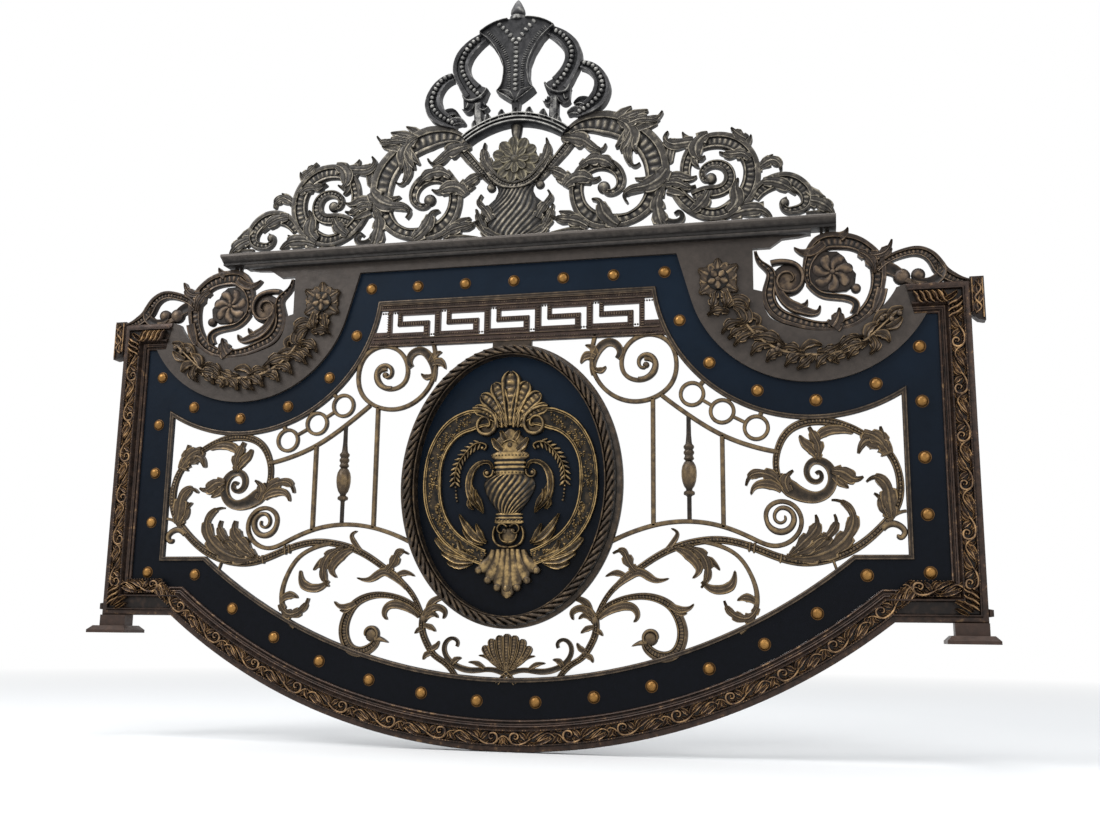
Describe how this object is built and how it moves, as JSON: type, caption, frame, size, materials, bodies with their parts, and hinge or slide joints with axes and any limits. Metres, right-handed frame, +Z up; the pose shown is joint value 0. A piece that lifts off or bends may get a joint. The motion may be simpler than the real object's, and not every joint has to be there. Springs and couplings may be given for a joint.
{
  "type": "ornamental metal fence panel",
  "caption": "Ornamental metal fence panel with a bowed bottom rail, a studded dark field, scrollwork around an oval urn medallion, and a crest of scrolls with a crown.",
  "frame": {"origin": "centre of the sole of the left foot", "axes": "+X along the panel towards the right foot, +Y away from the viewer, through the panel, +Z up"},
  "size_m": [2.464, 0.11, 2.114],
  "materials": {
    "bronze_frame": "satin",
    "navy_field": "satin",
    "dark_casting": "satin",
    "gold_relief": "satin"
  },
  "bodies": {
    "root": {"bottom_field": "navy_field", "bottom_rail": "bronze_frame", "cornice": "bronze_frame", "crest_rosette": "dark_casting", "crest_urn": "dark_casting", "crown_band": "dark_casting", "crown_centre_arch": "dark_casting", "crown_finial": "dark_casting", "frieze_board": "bronze_frame", "key_frieze": "bronze_frame", "left_baluster": "bronze_frame", "left_bar_grille": "bronze_frame", "left_field": "navy_field", "left_foot": "bronze_frame", "left_garland": "gold_relief", "left_inner_crest_scroll": "dark_casting", "left_inner_crown_arch": "dark_casting", "left_leaf_scroll": "bronze_frame", "left_outer_crest_scroll": "dark_casting", "left_outer_crown_arch": "dark_casting", "left_shoulder_plate": "bronze_frame", "left_shoulder_scroll": "dark_casting", "left_spray": "bronze_frame", "left_stile": "bronze_frame", "left_top_rail": "bronze_frame", "left_volute": "bronze_frame", "left_wall_bracket": "bronze_frame", "opening_rim": "bronze_frame", "oval_cartouche": "gold_relief", "oval_plate": "navy_field", "oval_rim": "gold_relief", "oval_urn": "gold_relief", "right_baluster": "bronze_frame", "right_bar_grille": "bronze_frame", "right_field": "navy_field", "right_foot": "bronze_frame", "right_garland": "gold_relief", "right_inner_crest_scroll": "dark_casting", "right_inner_crown_arch": "dark_casting", "right_leaf_scroll": "bronze_frame", "right_outer_crest_scroll": "dark_casting", "right_outer_crown_arch": "dark_casting", "right_shoulder_plate": "bronze_frame", "right_shoulder_scroll": "dark_casting", "right_spray": "bronze_frame", "right_stile": "bronze_frame", "right_top_rail": "bronze_frame", "right_volute": "bronze_frame", "right_wall_bracket": "bronze_frame", "shell_cluster": "bronze_frame", "top_field": "navy_field"}
  },
  "joints": []
}
